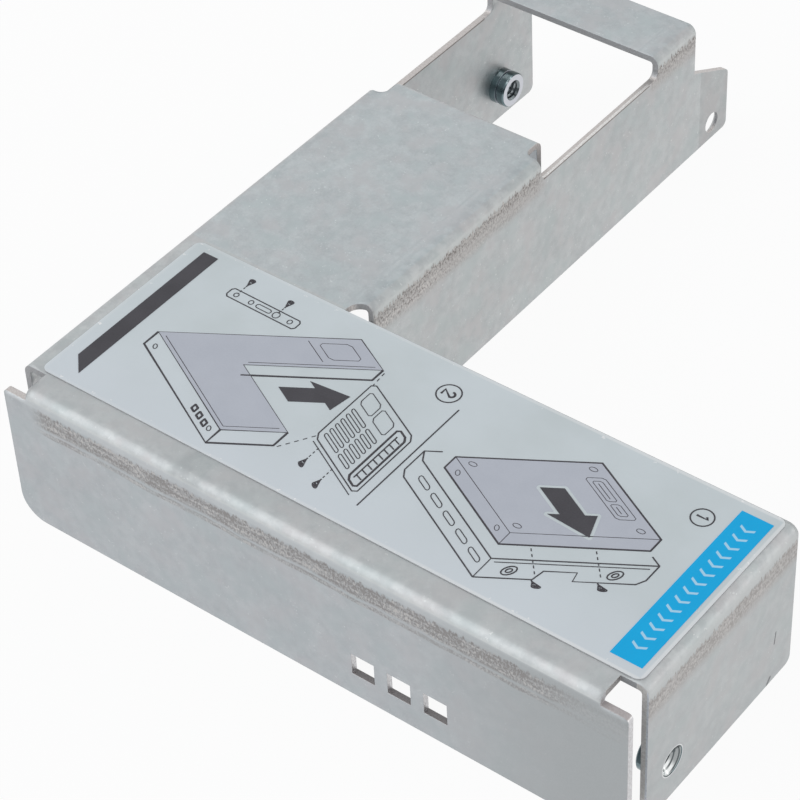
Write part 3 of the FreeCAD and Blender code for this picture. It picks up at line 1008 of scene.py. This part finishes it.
def sketchOne():
    # A flat unit over a plain open tray.
    base = Vector((59.0, 23.0))
    heavy, plain, fine = [], [], []
    left, far, right, near = at(base), at(base, 19), at(base, 19, 15.5), at(base, 0, 15.5)
    drop = Vector((0, -2.4))
    heavy += closedLines([left, far, right, right + drop, near + drop, left + drop])
    fine += openLines([left, near, right], [near, near + drop])
    # holes in the unit's top and near side
    for deep, wide in ((1.6, 1.4), (17.2, 1.4), (1.6, 14.0), (17.2, 14.0)):
        fine += closedLines(ring(at(base, deep, wide), 0.5, deepWay, wideWay, 12))
    for wide in (2.2, 13.4):
        fine += closedLines(ring(at(base, 0, wide, -1.2), 0.42, wideWay, riseWay, 12))
    # recess at its far end
    fine += closedLines(window(at(base, 15.2, 3.2), 2.6, 8.6, deepWay, wideWay, 0.35),
                        window(at(base, 15.8, 3.9), 1.3, 4.2, deepWay, wideWay, 0.25),
                        window(at(base, 15.8, 8.7), 1.3, 2.4, deepWay, wideWay, 0.25))
    fine += openLines([at(base, 16.4, 4.4), at(base, 16.4, 7.6)], [at(base, 16.4, 9.2), at(base, 16.4, 10.6)])
    # the tray's near wall, with a row of long holes
    low = -6.4
    plain += openLines([at(base, 0.2, -2.4, -1.4), at(base, -2.2, -2.4, -1.4), at(base, -2.2, -2.4, low + 0.8),
                        at(base, -2.2, -1.6, low), at(base, -2.2, 18.4, low)],
                       [at(base, -2.2, -1.4, -2.5), at(base, -2.2, 18.4, -2.5)],
                       [at(base, -2.2, -2.4, -1.4), at(base, -2.2, -1.4, -2.5)])
    for step in range(5):
        fine += closedLines(slot(at(base, -2.2, 1.6 + 3.6 * step, -4.3), 2.7, 0.42, wideWay, riseWay))
    # its long side, with a square cut-out and two collars
    side = 18.4
    plain += openLines([at(base, -2.2, side, low), at(base, 5.2, side, low), at(base, 5.6, side, low + 1.8),
                        at(base, 9.8, side, low + 1.8), at(base, 10.2, side, low), at(base, 18.0, side, low),
                        at(base, 18.8, side, low + 0.9), at(base, 18.8, side, -2.5)],
                       [at(base, -2.2, side, -2.5), at(base, 18.8, side, -2.5)],
                       [at(base, 18.8, side, -2.5), at(base, 18.8, 16.6, -2.5)])
    fine += openLines([at(base, -2.2, side, -2.5), at(base, -2.2, side, low)],
                      [at(base, -1.4, side, -3.2), at(base, 18.0, side, -3.2)])
    for deep in (1.4, 14.6):
        centre = at(base, deep, side, -4.8)
        plain += closedLines(ring(centre, 0.90, deepWay, riseWay, 14), ring(centre, 0.40, deepWay, riseWay, 10))
    # screws on their way in
    for deep in (4.0, 12.2):
        start = at(base, deep, side + 2.4, -5.4)
        fine += openLines(*dashes(at(base, deep, 15.9, -2.6), at(base, deep, side + 1.1, -4.6), 0.5))
        plain += screwMark(start, 0.55, deepWay, -wideWay * 0.8)
    return heavy, plain, fine


def sketchTwo():
    # The bracket on its way into the bay of a tray.
    base = Vector((11.0, 19.5))
    heavy, plain, fine = [], [], []
    thick = Vector((0, -3.0))
    corners = [at(base), at(base, 28), at(base, 28, 7), at(base, 9, 7), at(base, 9, 22), at(base, 0, 22)]
    plain += closedLines(corners)
    heavy += openLines([corners[0], corners[0] + thick, corners[5] + thick, corners[5]],
                       [corners[5] + thick, corners[4] + thick, corners[4]])
    heavy += openLines([corners[2], corners[2] + thick * 0.8, corners[3] + thick * 0.8 + Vector((1.0, 0.6))])
    fine += openLines([at(base, 0.7, 0.9), at(base, 0.7, 21.2), at(base, 8.2, 21.2)],
                      [at(base, 9.9, 6.4), at(base, 27.2, 6.4)], [at(base, 20.4, 0.8), at(base, 20.4, 5.6)])
    fine += closedLines(window(at(base, 21.6, 1.3), 4.4, 3.8, deepWay, wideWay, 0.5))
    for step in range(3):
        heavy += closedLines(window(at(base, 0, 15.4 + 1.6 * step, -2.0), 0.85, 0.85, wideWay, riseWay, 0.05))
    for wide, rise in ((1.8, -1.7), (20.4, -1.4)):
        fine += closedLines(ring(at(base, 0, wide, rise), 0.4, wideWay, riseWay, 10))
    # upright side plate of the tray, with its slots and windows
    plate = Vector((41.6, 15.6))
    wideLong, tall = 12.2, 12.6
    plain += closedLines(window(at(plate), wideLong, tall, wideWay, riseWay, 0.7))
    fine += openLines([at(plate, 0, 0.4, -0.7), at(plate, 0, wideLong - 0.5, -0.7)])
    for row in range(6):
        rise = 1.5 + 1.15 * row
        for first, long in ((0.9, 3.9), (5.3, 2.9)):
            fine += closedLines(slot(at(plate, 0, first + long / 2, rise), long, 0.3, wideWay, riseWay))
    for first, long in ((0.9, 3.2), (4.7, 3.5)):
        fine += closedLines(window(at(plate, 0, first, 8.8), long, 2.6, wideWay, riseWay, 0.4))
    # lever of the tray along its right edge
    lever = at(plate, 0, 9.2, 0.6)
    heavy += closedLines(window(lever, 2.3, tall - 1.6, wideWay, riseWay, 0.5))
    plain += openLines([lever + wideWay * 0.8 + riseWay * 0.8, lever + wideWay * 0.8 + riseWay * (tall - 2.6)])
    for step in range(8):
        rise = 1.4 + 1.15 * step
        plain += openLines([lever + wideWay * 0.8 + riseWay * rise,
                            lever + wideWay * 2.0 + riseWay * (rise + 0.15)])
    # far rail of the tray and the screws above it
    rail = Vector((13.5, 30.6))
    railWay = deepWay * 0.45 + wideWay * 0.55
    plain += closedLines(window(rail, 1.9, 14.2, riseWay, railWay, 0.4))
    for step, reach in enumerate((1.5, 4.6, 9.8, 12.6)):
        fine += closedLines(ring(rail + railWay * reach + riseWay * 0.95, 0.42 if step != 2 else 0.62,
                                 railWay, riseWay, 12))
    fine += closedLines(slot(rail + railWay * 7.2 + riseWay * 0.95, 3.0, 0.38, railWay, riseWay))
    for reach, lift in ((1.5, 2.6), (9.8, 2.3)):
        spot = rail + railWay * reach + riseWay * (1.9 + lift)
        plain += screwMark(spot, 0.5, railWay, -riseWay)
        fine += openLines(*dashes(spot - riseWay * 1.6, rail + railWay * reach + riseWay * 1.2, 0.4))
    for reach in (2.0, 6.4):
        spot = at(plate, 0, reach, -4.3)
        plain += screwMark(spot, 0.5, wideWay, riseWay)
        fine += openLines(*dashes(spot + riseWay * 1.7, at(plate, 0, reach, -0.2), 0.4))
    # guide lines from the bracket to the plate
    fine += openLines(*dashes(corners[2] + Vector((0.5, -0.4)), at(plate, 0, 0.2, 12.0), 0.6))
    fine += openLines(*dashes(corners[4] + thick + Vector((0.5, 0.1)), at(plate, 0, 0.2, 0.4), 0.6))
    return heavy, plain, fine


def stepNumbers():
    # 1 and 2 in their rings, and the line between the two steps. They read with +X upwards.
    up, right = Vector((1.0, 0.0)), Vector((0.0, -1.0))
    two, one = Vector((51.0, 32.2)), Vector((91.0, 32.0))
    plain = closedLines(ring(two, 1.75, up, right, 24), ring(one, 1.55, up, right, 24))
    numerals = []
    curl = ring(two + up * 0.42, 0.5, up, right, 8, start=-100, sweep=190)
    numerals += openLines(curl + [two - up * 0.9 - right * 0.5, two - up * 0.9 + right * 0.55])
    numerals += openLines([one + up * 0.45 - right * 0.35, one + up * 0.8, one - up * 0.85])
    plain += openLines([Vector((54.0, 8.6)), Vector((54.0, 30.4))])
    return plain, numerals


for name, sketch in (("sketchOne", sketchOne()), ("sketchTwo", sketchTwo())):
    for kind, weight, strokes in zip(("Outline", "Lines", "Detail"), ("heavy", "plain", "fine"), sketch):
        addPrint(name + kind, strokes, weight, printSettings)
rings, numerals = stepNumbers()
addPrint("stepRings", rings, "plain", printSettings)
addPrint("stepNumbers", numerals, "heavy", printSettings)
print("line work is printed")
